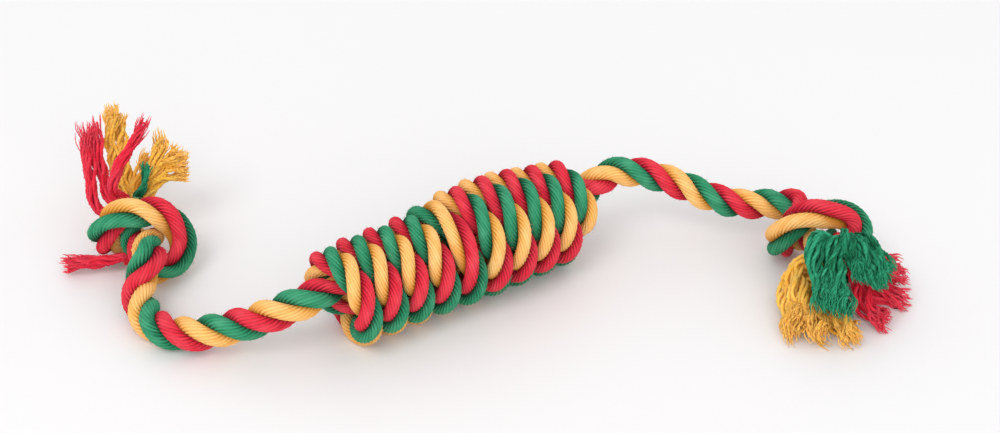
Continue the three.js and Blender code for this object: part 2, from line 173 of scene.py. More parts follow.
RIGHT_TUFTS = {
    "right_tuft_red": ("red", 0.9, (
        ((148.6, 2, 9.6), (157.5, 9, 6.6), 6.4),
        ((147.6, -0.6, 8), (159, 4, 5), 7.2),
        ((146, -6, 7), (158, -9, 4), 7.8),
        ((143.5, -11, 6.4), (149.5, -22.5, 4), 7.6),
    )),
    "right_tuft_green": ("green", 0.9, (
        ((127, -4, 25.6), (127.4, -26, 14.6), 8),
        ((132.6, -5, 25.2), (132.6, -28, 13.6), 8),
        ((140, -4.6, 24.6), (148.5, -15, 17), 8.2),
        ((142, -2.6, 24), (150.5, -10, 17.4), 8),
        ((136.6, -3, 26.6), (140.8, -15, 19.4), 6),
    )),
    "right_tuft_yellow": ("yellow", 0.9, (
        ((119.6, -3, 8), (118, -28, 4.8), 7.8),
        ((124, -5.6, 8), (126, -31.5, 5.6), 8),
        ((130, -9.4, 6.6), (137.5, -30.5, 4), 7.8),
        ((121.5, -3.5, 14.6), (120.5, -25, 6.2), 6.6),
    )),
}

# Sizes that follow from the ones above
ROPE_RADIUS = ROPE_DIAMETER / 2
TURN_RADIUS = ROPE_RADIUS * MIDDLE_SQUEEZE
RUN_RADIUS = ROPE_RADIUS * MIDDLE_CORE_SQUEEZE
RUN_OFFSET = RUN_RADIUS + RUN_GAP / 2
WINDING_RADIUS = RUN_OFFSET + RUN_RADIUS + RUN_GAP + TURN_RADIUS
PITCH = 2 * TURN_RADIUS + TURN_GAP
CORE_HALF = (MIDDLE_TURNS / 2 - 1) * PITCH
MOUTH = (MIDDLE_TURNS / 2 - 0.5) * PITCH + TURN_RADIUS
AXIS_HEIGHT = WINDING_RADIUS + TURN_RADIUS - PRESSED_FLAT


def unit(values):
    array = np.array(values, float)
    return array / np.linalg.norm(array)


def blend(a, b, share):
    return a + (b - a) * share


# Camera at the photograph's angle: it looks down on the toy from in front. The picture's middle is
# right of and above the middle knot's centre by the framing.
KNOT_CENTRE = Vector((0, 0, 19))
CAMERA_ELEVATION = math.radians(35)
CAMERA_DISTANCE = 650
MM_PER_PIXEL = 0.353
IMAGE_WIDTH = 1000
FRAMING = (15.9, 11.8)
SENSOR = 36


def make_camera(shift):
    data = bpy.data.cameras.new("camera")
    data.sensor_width = SENSOR
    data.lens = SENSOR * CAMERA_DISTANCE / MM_PER_PIXEL / IMAGE_WIDTH
    camera = bpy.data.objects.new("camera", data)
    bpy.context.scene.collection.objects.link(camera)
    back = Vector((0, -math.cos(CAMERA_ELEVATION), math.sin(CAMERA_ELEVATION)))
    upward = Vector((0, math.sin(CAMERA_ELEVATION), math.cos(CAMERA_ELEVATION)))
    target = KNOT_CENTRE + Vector(shift) + Vector((FRAMING[0], 0, 0)) + upward * FRAMING[1]
    camera.location = (target + back * CAMERA_DISTANCE) * MM
    camera.rotation_euler = (math.pi / 2 - CAMERA_ELEVATION, 0, 0)
    bpy.context.scene.camera = camera


# Rope route: places, squeezes and joint names


def around(angle, radius, x, squeeze):
    """A point of the route about the middle knot's axis: 0 degrees is in front, 90 on top."""
    turn = math.radians(angle)
    return [np.array((x, -radius * math.cos(turn), radius * math.sin(turn))), squeeze, None]


def whole_knot(half):
    """Both halves of a knot: one is the other turned half round the upright."""
    first = [[place * (-1, -1, 1), squeeze, joint] for place, squeeze, joint in reversed(half[1:])]
    return first + half


def middle_half():
    """Half of the middle knot, from its middle: turns, tuck into the bore, run through it, lead out."""
    half = []
    for i in range(round((MIDDLE_TURNS - 1) / 2 * POINTS_PER_TURN) + 1):
        turn = MIDDLE_TURNS / 2 + i / POINTS_PER_TURN
        x = (MIDDLE_TURNS / 2 - turn) * PITCH
        half.append(around(270 + 360 * turn, WINDING_RADIUS, x, MIDDLE_SQUEEZE))
    for angle, inward, back in TUCK:
        x = ((270 - angle) / 360 - MIDDLE_TURNS / 2 + back) * PITCH
        radius = blend(WINDING_RADIUS, RUN_OFFSET, inward)
        half.append(around(angle, radius, x, blend(MIDDLE_SQUEEZE, MIDDLE_CORE_SQUEEZE, inward)))
    for i in range(CORE_STEPS + 1):
        share = i / CORE_STEPS
        x = blend(-CORE_HALF, CORE_HALF, share)
        half.append(around(270 + 180 * share, RUN_OFFSET, x, MIDDLE_CORE_SQUEEZE))
    for share, squeeze in LEAD:
        half.append(around(90, RUN_OFFSET, blend(CORE_HALF, MOUTH + LEAD_REACH, share), squeeze))
    return half


def middle_knot():
    """The whole middle knot, turned and lifted to where it lies."""
    knot = whole_knot(middle_half())
    c, s = math.cos(MIDDLE_YAW), math.sin(MIDDLE_YAW)
    for point in knot:
        x, y, z = point[0]
        point[0] = np.array((c * x - s * y, s * x + c * y, z + AXIS_HEIGHT))
    knot[0][2] = "left_arm_swing"
    knot[-1][2] = "right_arm_swing"
    return knot


def end_knot(where, tassel_first):
    """An overhand knot with its tassel's end before or after it."""
    centre, heading = where
    half = [[np.array(row[:3]) * ROPE_DIAMETER, row[3], None] for row in KNOT_HALF]
    half.append([np.array((KNOT_LEAD * ROPE_DIAMETER, 0, half[-1][0][2])), 1, None])
    knot = whole_knot(half)
    tassel = knot[0 if tassel_first else -1]
    tassel[1] = TASSEL_SQUEEZE
    tassel[0][0] = (-1 if tassel_first else 1) * TASSEL_LEAD * ROPE_DIAMETER
    ahead = unit(heading)
    side = unit(np.cross((0, 0, 1), ahead))
    turn = np.array((ahead, side, np.cross(ahead, side)))
    for point in knot:
        point[0] = point[0] @ turn + centre
    return knot


def arm(rows, squeeze):
    return [[np.array(row[:3], float), squeeze, row[3]] for row in rows]


def smooth_line(points, per_span):
    """A centripetal spline through the points."""
    points = np.array(points, float)
    before = 2 * points[0] - points[1]
    after = 2 * points[-1] - points[-2]
    full = np.vstack((before, points, after))
    share = (np.arange(per_span) / per_span)[:, None]
    line = []
    for p0, p1, p2, p3 in zip(full, full[1:], full[2:], full[3:]):
        d0, d1, d2 = (math.sqrt(np.linalg.norm(b - a)) for a, b in ((p0, p1), (p1, p2), (p2, p3)))
        start = ((p1 - p0) / d0 - (p2 - p0) / (d0 + d1) + (p2 - p1) / d1) * d1
        stop = ((p2 - p1) / d1 - (p3 - p1) / (d1 + d2) + (p3 - p2) / d2) * d1
        line.append(
            p1 + start * share + (3 * (p2 - p1) - 2 * start - stop) * share ** 2
            + (2 * (p1 - p2) + start + stop) * share ** 3
        )
    return np.vstack((*line, points[-1:]))


def travel_along(line):
    """How far along the line each of its points is."""
    steps = np.linalg.norm(np.diff(line, axis=0), axis=1)
    return np.concatenate(((0,), np.cumsum(steps)))


def points_at(where, travel, points):
    """Points of a line, or directions along it, at other distances along it."""
    return np.stack([np.interp(where, travel, points[:, k]) for k in range(3)], axis=1)


def frames_along(line, side=None):
    """Directions ahead, to the side and upward that don't turn about the line."""
    ahead = np.empty_like(line)
    ahead[1:-1] = line[2:] - line[:-2]
    ahead[0], ahead[-1] = line[1] - line[0], line[-1] - line[-2]
    ahead /= np.linalg.norm(ahead, axis=1)[:, None]
    side = np.cross((0, 0, 1), ahead[0]) if side is None else side
    sides = np.empty_like(line)
    for i, forward in enumerate(ahead):
        side = unit(side - forward * (side @ forward))
        sides[i] = side
    return ahead, sides, np.cross(ahead, sides)


def swollen(line):
    """The route with its winding fuller, while its underside and the inner runs stay in place."""
    c, s = math.cos(MIDDLE_YAW), math.sin(MIDDLE_YAW)
    along = line[:, 0] * c + line[:, 1] * s
    level = line[:, 1] * c - line[:, 0] * s
    height = line[:, 2] - AXIS_HEIGHT
    radius = np.hypot(level, height)
    near = np.clip(1 - ((along - SWELL_PLACE) / SWELL_REACH) ** 2, 0, 1) ** 2
    outer = np.clip((radius - RUN_OFFSET) / (WINDING_RADIUS - RUN_OFFSET), 0, 1)
    gain = SWELL * near * outer
    level_gain = gain * level / radius
    return line + np.stack((-level_gain * s, level_gain * c, gain * (height / radius + 1)), axis=1)


SAMPLES_PER_SPAN = 16
route = [
    *end_knot(LEFT_KNOT, True), *arm(LEFT_ARM, 1), *middle_knot(),
    *arm(RIGHT_ARM, RIGHT_ARM_SQUEEZE), *end_knot(RIGHT_KNOT, False),
]
rope_line = smooth_line([place for place, _, _ in route], SAMPLES_PER_SPAN)
rope_travel = travel_along(rope_line)
rope_ahead, rope_side, rope_up = frames_along(rope_line)
rope_squeeze = np.interp(
    np.arange(len(rope_line)) / SAMPLES_PER_SPAN, np.arange(len(route)), [row[1] for row in route]
)
joint_row = {row[2]: i * SAMPLES_PER_SPAN for i, row in enumerate(route) if row[2]}
joints = {joint["name"]: joint for joint in frame["joints"]}
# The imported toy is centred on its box, so the route moves to where the frame has its first joint
shift = np.array(joints["left_arm_swing"]["pos_m"]) / MM - rope_line[joint_row["left_arm_swing"]]
rope_line = swollen(rope_line) + shift
make_camera(shift)


# Node trees
# Ring points for each yarn of a strand and each ply of a tuft's yarn, and how deep the plies are parted
POINTS_PER_YARN = 4
POINTS_PER_PLY = 3
PLY_GROOVE = 0.3
# Soft noise, counted to the metre: lumps of about 1.4 mm on strands, sways of about 14 mm along tufts
LUMPS = 700.0
SWAYS = 70.0
# How far yarns are apart in the noise that sways them, and the noise's middle value
SWAY_APART = 0.37
NOISE_MIDDLE = 0.5
# How high over the floor the lowest yarn lies
FLOOR_GAP = 0.05
# A loose fibre in its own lengths: start, two handles and end of its bend, and its radius at root and tip
HAIR_BEND = {
    "Start": (0, 0, 0), "Start Handle": (0, 0, 0.5),
    "End Handle": (0.2, 0, 0.9), "End": (0.75, 0.1, 1),
}
HAIR_ROOT = 0.05
HAIR_TIP = 0.012
# Its least length as a share of the most, and how far it leans, in radians
HAIR_SHORTEST = 0.4
HAIR_LEAN = 0.9
# Cosine of the angle from the rope's outside at which a strand's crease starts
CREASE_START = 0.65
# Room for the numbers of yarns and of threads in a bundle, and between the seeds of a tuft's random values
YARN_NUMBERS = 100.0
THREAD_NUMBERS = 1000.0
SEED_STEP = 50.0
# Least and most of each yarn's own share of the crimp's lay
OWN_LAY = (0.75, 1.35)
# Shares of a tuft's length where its crimp starts and is full, and of a yarn's where it starts to taper
CRIMP_START = 0.1
CRIMP_FULL = 0.4
TAPER_START = 0.82
GOLDEN_ANGLE = math.pi * (3 - math.sqrt(5))


def add(tree, kind, inputs=None, **settings):
    """One node with its settings; each input is a value or the socket that feeds it."""
    made = tree.nodes.new(kind)
    for name, value in settings.items():
        setattr(made, name, value)
    for key, value in (inputs or {}).items():
        if isinstance(value, bpy.types.NodeSocket):
            tree.links.new(value, made.inputs[key])
        else:
            made.inputs[key].default_value = value
    return made


def new_tree(name, sizes):
    """A tree of geometry nodes with its named inputs, and its input and output nodes."""
    tree = bpy.data.node_groups.new(name, "GeometryNodeTree")
    tree.is_modifier = True
    tree.interface.new_socket("Geometry", in_out="INPUT", socket_type="NodeSocketGeometry")
    for label, kind in sizes.items():
        tree.interface.new_socket(label, in_out="INPUT", socket_type=kind)
    tree.interface.new_socket("Geometry", in_out="OUTPUT", socket_type="NodeSocketGeometry")
    return tree, tree.nodes.new("NodeGroupInput").outputs, tree.nodes.new("NodeGroupOutput").inputs


def lobed_ring(tree, lobes, per_lobe, depth):
    """Unit ring with one rounded lobe for each yarn, which notes each point's yarn and height on it."""
    count = add(tree, "ShaderNodeMath", {0: lobes, 1: float(per_lobe)}, operation="MULTIPLY")
    ring = add(tree, "GeometryNodeCurvePrimitiveCircle", {"Resolution": count.outputs[0], "Radius": 1.0})
    place = add(tree, "GeometryNodeInputIndex")
    turn = add(tree, "ShaderNodeMath", {0: place.outputs[0], 1: math.pi / per_lobe}, operation="MULTIPLY")
    wave = add(tree, "ShaderNodeMath", {0: turn.outputs[0]}, operation="COSINE")
    crown = add(tree, "ShaderNodeMath", {0: wave.outputs[0]}, operation="ABSOLUTE")
    yarn = add(tree, "ShaderNodeMath", {0: place.outputs[0], 1: 1 / per_lobe}, operation="MULTIPLY")
    noted = ring.outputs[0]
    for name, value in (("crown", crown), ("round", yarn)):
        noted = add(tree, "GeometryNodeStoreNamedAttribute", {
            "Geometry": noted, "Name": name, "Value": value.outputs[0]}, data_type="FLOAT").outputs[0]
    low = add(tree, "ShaderNodeMath", {0: 1.0, 1: crown.outputs[0]}, operation="SUBTRACT")
    cut = add(tree, "ShaderNodeMath", {0: low.outputs[0], 1: depth}, operation="MULTIPLY")
    reach = add(tree, "ShaderNodeMath", {0: 1.0, 1: cut.outputs[0]}, operation="SUBTRACT")
    spot = add(tree, "GeometryNodeInputPosition")
    moved = add(tree, "ShaderNodeVectorMath", {
        0: spot.outputs[0], "Scale": reach.outputs[0]}, operation="SCALE")
    return add(tree, "GeometryNodeSetPosition", {
        "Geometry": noted, "Position": moved.outputs[0]}).outputs[0]


def lumpy(tree, geometry, height):
    """Moves a surface in and out by a soft noise."""
    noise = add(tree, "ShaderNodeTexNoise", {"Scale": LUMPS, "Detail": 2.0})
    middle = add(tree, "ShaderNodeMath", {0: noise.outputs[0], 1: NOISE_MIDDLE}, operation="SUBTRACT")
    far = add(tree, "ShaderNodeMath", {0: middle.outputs[0], 1: height}, operation="MULTIPLY")
    normal = add(tree, "GeometryNodeInputNormal")
    move = add(tree, "ShaderNodeVectorMath", {
        0: normal.outputs[0], "Scale": far.outputs[0]}, operation="SCALE")
    return add(tree, "GeometryNodeSetPosition", {
        "Geometry": geometry, "Offset": move.outputs[0]}).outputs[0]


def above_floor(tree, geometry):
    """Keeps every point just over the floor, where soft yarn would lie flat."""
    spot = add(tree, "GeometryNodeInputPosition")
    parts = add(tree, "ShaderNodeSeparateXYZ", {0: spot.outputs[0]})
    height = add(tree, "ShaderNodeMath", {0: parts.outputs[2], 1: FLOOR_GAP * MM}, operation="MAXIMUM")
    lifted = add(tree, "ShaderNodeCombineXYZ", {
        0: parts.outputs[0], 1: parts.outputs[1], 2: height.outputs[0]})
    return add(tree, "GeometryNodeSetPosition", {
        "Geometry": geometry, "Position": lifted.outputs[0]}).outputs[0]


def fuzz(tree, surface, density, length, seed):
    """Short loose fibres on a surface: bent, tapered, three-sided hairs."""
    hair_line = add(tree, "GeometryNodeCurvePrimitiveBezierSegment", {"Resolution": 2, **HAIR_BEND})
    share = add(tree, "GeometryNodeSplineParameter")
    thin = add(tree, "ShaderNodeMapRange", {0: share.outputs[0], 3: HAIR_ROOT, 4: HAIR_TIP})
    hair_ring = add(tree, "GeometryNodeCurvePrimitiveCircle", {"Resolution": 3, "Radius": 1.0})
    hair = add(tree, "GeometryNodeCurveToMesh", {
        "Curve": hair_line.outputs[0], "Profile Curve": hair_ring.outputs[0],
        "Scale": thin.outputs[0], "Fill Caps": True})
    spots = add(tree, "GeometryNodeDistributePointsOnFaces", {
        "Mesh": surface, "Density": density, "Seed": seed})
    spin = add(tree, "FunctionNodeRandomValue", {
        "Min": (-HAIR_LEAN, -HAIR_LEAN, 0), "Max": (HAIR_LEAN, HAIR_LEAN, math.tau),
        "Seed": seed}, data_type="FLOAT_VECTOR")
    turned = add(tree, "FunctionNodeRotateRotation", {
        0: spots.outputs["Rotation"], 1: spin.outputs[0]}, rotation_space="LOCAL")
    grown = add(tree, "FunctionNodeRandomValue", {
        2: HAIR_SHORTEST, 3: 1.0, "Seed": seed}, data_type="FLOAT")
    size = add(tree, "ShaderNodeMath", {0: grown.outputs[1], 1: length}, operation="MULTIPLY")
    fibres = add(tree, "GeometryNodeInstanceOnPoints", {
        "Points": spots.outputs[0], "Instance": hair.outputs[0],
        "Rotation": turned.outputs[0], "Scale": size.outputs[0]})
    both = add(tree, "GeometryNodeJoinGeometry", {"Geometry": fibres.outputs[0]})
    tree.links.new(surface, both.inputs[0])
    return both.outputs[0]


def strand_tree():
    """A strand of twisted yarns along a line, with short loose fibres on it."""
    tree, inputs, output = new_tree("laid_strand", {
        "Yarns": "NodeSocketFloat", "Yarn lay": "NodeSocketFloat", "Groove": "NodeSocketFloat",
        "Lump": "NodeSocketFloat", "Fibres per area": "NodeSocketFloat", "Fibre length": "NodeSocketFloat",
        "Seed": "NodeSocketInt", "Cotton": "NodeSocketMaterial",
    })
    line = add(tree, "GeometryNodeMeshToCurve", {"Mesh": inputs["Geometry"]})
    side = add(tree, "GeometryNodeInputNamedAttribute", {"Name": "line_side"}, data_type="FLOAT_VECTOR")
    line = add(tree, "GeometryNodeSetCurveNormal", {
        "Curve": line.outputs[0], "Normal": side.outputs[0]}, mode="FREE")
    travel = add(tree, "GeometryNodeInputNamedAttribute", {"Name": "travel"}, data_type="FLOAT")
    turns = add(tree, "ShaderNodeMath", {0: travel.outputs[0], 1: inputs["Yarn lay"]}, operation="DIVIDE")
    tilt = add(tree, "ShaderNodeMath", {0: turns.outputs[0], 1: -math.tau}, operation="MULTIPLY")
    line = add(tree, "GeometryNodeSetCurveTilt", {"Curve": line.outputs[0], "Tilt": tilt.outputs[0]})
    width = add(tree, "GeometryNodeInputNamedAttribute", {"Name": "thickness"}, data_type="FLOAT")
    ring = lobed_ring(tree, inputs["Yarns"], POINTS_PER_YARN, inputs["Groove"])
    body = add(tree, "GeometryNodeCurveToMesh", {
        "Curve": line.outputs[0], "Profile Curve": ring, "Scale": width.outputs[0], "Fill Caps": True})
    body = lumpy(tree, body.outputs[0], inputs["Lump"])
    # How far each point is tucked in between the strands: 1 in the crease, under 0 on the crown
    outward = add(tree, "GeometryNodeInputNamedAttribute", {"Name": "line_out"}, data_type="FLOAT_VECTOR")
    normal = add(tree, "GeometryNodeInputNormal")
    facing = add(tree, "ShaderNodeVectorMath", {
        0: normal.outputs[0], 1: outward.outputs[0]}, operation="DOT_PRODUCT")
    tucked = add(tree, "ShaderNodeMapRange", {
        0: facing.outputs["Value"], 1: CREASE_START, 2: 0.0}, clamp=False)
    noted = add(tree, "GeometryNodeStoreNamedAttribute", {
        "Geometry": body, "Name": "tucked", "Value": tucked.outputs[0]}, data_type="FLOAT")
    smooth = add(tree, "GeometryNodeSetShadeSmooth", {"Geometry": noted.outputs[0]})
    fuzzy = fuzz(tree, smooth.outputs[0], inputs["Fibres per area"], inputs["Fibre length"], inputs["Seed"])
    whole = add(tree, "GeometryNodeRealizeInstances", {"Geometry": fuzzy})
    done = add(tree, "GeometryNodeSetMaterial", {
        "Geometry": above_floor(tree, whole.outputs[0]), "Material": inputs["Cotton"]})
    tree.links.new(done.outputs[0], output[0])
    return tree


def tuft_tree():
    """Yarns of frayed bundles, crimped by their old twist, or the threads that their cut ends open into."""
    tree, inputs, output = new_tree("frayed_tuft", {
        "Yarns": "NodeSocketInt", "Threads": "NodeSocketInt", "Thickness": "NodeSocketFloat",
        "Tip": "NodeSocketFloat", "Plies": "NodeSocketFloat", "Ply lay": "NodeSocketFloat",
        "Bundle lay": "NodeSocketFloat", "Crimp": "NodeSocketFloat", "Crimp lay": "NodeSocketFloat",
        "Sway": "NodeSocketFloat", "Shortest": "NodeSocketFloat", "Longest": "NodeSocketFloat",
        "Back": "NodeSocketFloat", "Past": "NodeSocketFloat", "Opening": "NodeSocketFloat",
        "Fibres per area": "NodeSocketFloat", "Fibre length": "NodeSocketFloat", "Fray": "NodeSocketFloat",
        "Round": "NodeSocketBool", "Seed": "NodeSocketInt", "Cotton": "NodeSocketMaterial",
    })
    line = add(tree, "GeometryNodeMeshToCurve", {"Mesh": inputs["Geometry"]})
    amount = add(tree, "ShaderNodeMath", {0: inputs["Yarns"], 1: inputs["Threads"]}, operation="MULTIPLY")
    many = add(tree, "GeometryNodeDuplicateElements", {
        "Geometry": line.outputs[0], "Amount": amount.outputs[0]}, domain="SPLINE")
    # Number of the yarn in its bundle, and a number of its own in the whole tuft for yarn and thread
    number = add(tree, "ShaderNodeMath", {0: many.outputs[1], 1: inputs["Threads"]}, operation="DIVIDE")
    number = add(tree, "ShaderNodeMath", {0: number.outputs[0]}, operation="FLOOR")
    bundle = add(tree, "GeometryNodeInputNamedAttribute", {"Name": "bundle"}, data_type="FLOAT")
    own = add(tree, "ShaderNodeMath", {
        0: bundle.outputs[0], 1: YARN_NUMBERS, 2: number.outputs[0]}, operation="MULTIPLY_ADD")
    thread = add(tree, "ShaderNodeMath", {
        0: bundle.outputs[0], 1: THREAD_NUMBERS, 2: many.outputs[1]}, operation="MULTIPLY_ADD")
    kept = many.outputs[0]
    for name, value in (("number", number), ("yarn", own), ("thread", thread)):
        kept = add(tree, "GeometryNodeStoreNamedAttribute", {
            "Geometry": kept, "Name": name, "Value": value.outputs[0],
        }, data_type="FLOAT", domain="CURVE").outputs[0]
    number, yarn, thread, wide, travel, share = (
        add(tree, "GeometryNodeInputNamedAttribute", {"Name": name}, data_type="FLOAT").outputs[0]
        for name in ("number", "yarn", "thread", "thickness", "travel", "share"))
    side, ahead = (
        add(tree, "GeometryNodeInputNamedAttribute", {"Name": name}, data_type="FLOAT_VECTOR").outputs[0]
        for name in ("line_side", "line_ahead"))
    chance = []
    ranges = ((0, math.tau, yarn), (*OWN_LAY, yarn), (0, 1, yarn), (0, math.tau, thread), (0, 1, thread))
    for place, (low, high, key) in enumerate(ranges):
        seed = add(tree, "ShaderNodeMath", {0: inputs["Seed"], 1: SEED_STEP * place}, operation="ADD")
        chance.append(add(tree, "FunctionNodeRandomValue", {
            2: float(low), 3: float(high), "ID": key, "Seed": seed.outputs[0],
        }, data_type="FLOAT").outputs[1])
    start_turn, own_lay, own_length, thread_turn, thread_length = chance
    stop = add(tree, "ShaderNodeMapRange", {
        0: own_length, 3: inputs["Shortest"], 4: inputs["Longest"]}).outputs[0]
    opens = add(tree, "ShaderNodeMath", {0: stop, 1: inputs["Back"]}, operation="SUBTRACT").outputs[0]
    # Place in the bundle: the golden angle spreads the yarns over a round section, which turns slowly
    filled = add(tree, "ShaderNodeMath", {0: number, 1: 0.5}, operation="ADD")
    filled = add(tree, "ShaderNodeMath", {0: filled.outputs[0], 1: inputs["Yarns"]}, operation="DIVIDE")
    filled = add(tree, "ShaderNodeMath", {0: filled.outputs[0]}, operation="SQRT")
    place_far = add(tree, "ShaderNodeMath", {0: filled.outputs[0], 1: wide}, operation="MULTIPLY")
    place_turn = add(tree, "ShaderNodeMath", {0: number, 1: GOLDEN_ANGLE}, operation="MULTIPLY")
    slow = add(tree, "ShaderNodeMath", {0: travel, 1: inputs["Bundle lay"]}, operation="DIVIDE")
    place_turn = add(tree, "ShaderNodeMath", {
        0: slow.outputs[0], 1: math.tau, 2: place_turn.outputs[0]}, operation="MULTIPLY_ADD")
    # Crimp: the yarn winds about its place, each with its own start and lay
    crimp_lay = add(tree, "ShaderNodeMath", {0: own_lay, 1: inputs["Crimp lay"]}, operation="MULTIPLY")
    crimp_turn = add(tree, "ShaderNodeMath", {0: travel, 1: crimp_lay.outputs[0]}, operation="DIVIDE")
    crimp_turn = add(tree, "ShaderNodeMath", {
        0: crimp_turn.outputs[0], 1: math.tau, 2: start_turn}, operation="MULTIPLY_ADD")
    crimp_far = add(tree, "ShaderNodeMapRange", {
        0: share, 1: CRIMP_START, 2: CRIMP_FULL, 4: inputs["Crimp"]})
    # Threads stand off their yarn more and more towards its cut end
    thread_far = add(tree, "ShaderNodeMapRange", {0: share, 1: opens, 2: stop, 4: inputs["Opening"]})
    # Sway: soft noise that grows towards the tip and differs from yarn to yarn
    apart = add(tree, "ShaderNodeMath", {0: yarn, 1: SWAY_APART}, operation="MULTIPLY")
    noise = add(tree, "ShaderNodeTexNoise", {
        "W": apart.outputs[0], "Scale": SWAYS, "Detail": 1.0}, noise_dimensions="4D")
    middle = add(tree, "ShaderNodeVectorMath", {
        0: noise.outputs["Color"], 1: (NOISE_MIDDLE,) * 3}, operation="SUBTRACT")
    grown = add(tree, "ShaderNodeMath", {0: share, 1: inputs["Sway"]}, operation="MULTIPLY")
    move = add(tree, "ShaderNodeVectorMath", {
        0: middle.outputs[0], "Scale": grown.outputs[0]}, operation="SCALE")
    moves = (
        (place_turn.outputs[0], place_far), (crimp_turn.outputs[0], crimp_far), (thread_turn, thread_far))
    for turn, far in moves:
        reach = add(tree, "ShaderNodeVectorMath", {0: side, "Scale": far.outputs[0]}, operation="SCALE")
        turned = add(tree, "ShaderNodeVectorRotate", {
            "Vector": reach.outputs[0], "Axis": ahead, "Angle": turn})
        move = add(tree, "ShaderNodeVectorMath", {
            0: move.outputs[0], 1: turned.outputs[0]}, operation="ADD")
    spread = add(tree, "GeometryNodeSetPosition", {"Geometry": kept, "Offset": move.outputs[0]})
    end = add(tree, "ShaderNodeMath", {
        0: thread_length, 1: inputs["Past"], 2: stop}, operation="MULTIPLY_ADD")
    cut = add(tree, "GeometryNodeTrimCurve", {
        "Curve": spread.outputs[0], "Start": opens, "End": end.outputs[0]}, mode="FACTOR")
    along = add(tree, "GeometryNodeSplineParameter")
    thin = add(tree, "ShaderNodeMapRange", {
        0: along.outputs[0], 1: TAPER_START, 2: 1.0, 3: inputs["Thickness"], 4: inputs["Tip"]})
    turns = add(tree, "ShaderNodeMath", {0: along.outputs[1], 1: inputs["Ply lay"]}, operation="DIVIDE")
    tilt = add(tree, "ShaderNodeMath", {0: turns.outputs[0], 1: math.tau}, operation="MULTIPLY")
    shaped = add(tree, "GeometryNodeSetCurveTilt", {"Curve": cut.outputs[0], "Tilt": tilt.outputs[0]})
    ring = lobed_ring(tree, inputs["Plies"], POINTS_PER_PLY, PLY_GROOVE)
    body = add(tree, "GeometryNodeCurveToMesh", {
        "Curve": shaped.outputs[0], "Profile Curve": ring, "Scale": thin.outputs[0], "Fill Caps": True})
    smooth = add(tree, "GeometryNodeSetShadeSmooth", {
        "Geometry": body.outputs[0], "Shade Smooth": inputs["Round"]})
    fuzzy = fuzz(tree, smooth.outputs[0], inputs["Fibres per area"], inputs["Fibre length"], inputs["Seed"])
    whole = add(tree, "GeometryNodeRealizeInstances", {"Geometry": fuzzy})
    noted = add(tree, "GeometryNodeStoreNamedAttribute", {
        "Geometry": whole.outputs[0], "Name": "fray", "Value": inputs["Fray"]}, data_type="FLOAT")
    done = add(tree, "GeometryNodeSetMaterial", {
        "Geometry": above_floor(tree, noted.outputs[0]), "Material": inputs["Cotton"]})
    tree.links.new(done.outputs[0], output[0])
    return tree


def line_mesh(name, lines):
    """A mesh of open lines: each has its points and its named values, in metres."""
    count = [len(line["place"]) for line in lines]
    first = np.cumsum([0, *count])
    edges = [(a + i, a + i + 1) for a, n in zip(first, count) for i in range(n - 1)]
    mesh = bpy.data.meshes.new(name)
    mesh.from_pydata(np.vstack([line["place"] for line in lines]).tolist(), edges, [])
    for key in lines[0]:
        if key == "place":
            continue
        values = np.concatenate([line[key] for line in lines]).astype(np.float32)
        kind, field = ("FLOAT_VECTOR", "vector") if values.ndim == 2 else ("FLOAT", "value")
        mesh.attributes.new(key, kind, "POINT").data.foreach_set(field, values.ravel())
    return mesh


def grow(name, tree, mesh, settings):
    """Runs a tree on a mesh of lines and gives the result as a plain mesh object."""
    source = bpy.data.objects.new(name + "_line", mesh)
    bpy.context.scene.collection.objects.link(source)
    modifier = source.modifiers.new("grow", "NODES")
    modifier.node_group = tree
    names = {item.name: item.identifier for item in tree.interface.items_tree if item.in_out == "INPUT"}
    for label, value in settings.items():
        modifier[names[label]] = value
    graph = bpy.context.evaluated_depsgraph_get()
    made = bpy.data.meshes.new_from_object(
        source.evaluated_get(graph), preserve_all_data_layers=True, depsgraph=graph)
    source.modifiers.remove(modifier)
    bpy.data.objects.remove(source)
    bpy.data.meshes.remove(mesh)
    made.name = name
    piece = bpy.data.objects.new(name, made)
    bpy.context.scene.collection.objects.link(piece)
    return piece


def joined(name, pieces):
    """Several mesh objects as one."""
    with bpy.context.temp_override(
        active_object=pieces[0], selected_editable_objects=pieces, selected_objects=pieces
    ):
        bpy.ops.object.join()
    pieces[0].name = name
    return pieces[0]


# Materials
# Patterns of the cotton, counted to the metre: patches of uneven dye about 7 mm wide, and fibres, drawn as
# streaks about 0.4 mm wide, coarser than real ones so that they show
DYE_PATCHES = 140.0
FIBRE_STREAKS = 2400.0
# How yarn height, patches and streaks give shares of a colour: values 1 and 2 turn into shares 3 and 4;
# low yarn height gives painted shade in the grooves between yarns
GROOVE_PAINTED_SHADE = {1: 0.0, 2: 0.75, 3: 0.4, 4: 1.0}
PATCH_TONE = {1: 0.45, 2: 0.75, 3: 0.0, 4: 0.4}
STREAK_TONE = {1: 0.35, 2: 0.75, 3: 0.0, 4: 0.28}
# Shares of the deep colour painted as shade in creases, and of the pale one painted as a highlight on
# crowns and laid on cut ends; a crown counts below 0
CREASE_PAINTED_SHADE = 0.7
CROWN_PAINTED_HIGHLIGHT = -0.35
END_TONE = 0.65
# How far yarns are apart in the noise that gives each its tone
TONE_APART = 7.3
# How high fibres stand in the bump, and how far light goes into loose yarn
STREAK_HEIGHT = 0.2
LIGHT_DEPTH = 2.0


def linear(hex_colour):
    """An sRGB hex colour in linear values."""
    parts = [int(hex_colour[i:i + 2], 16) / 255 for i in (1, 3, 5)]
    return [*(p / 12.92 if p <= 0.04045 else ((p + 0.055) / 1.055) ** 2.4 for p in parts), 1]


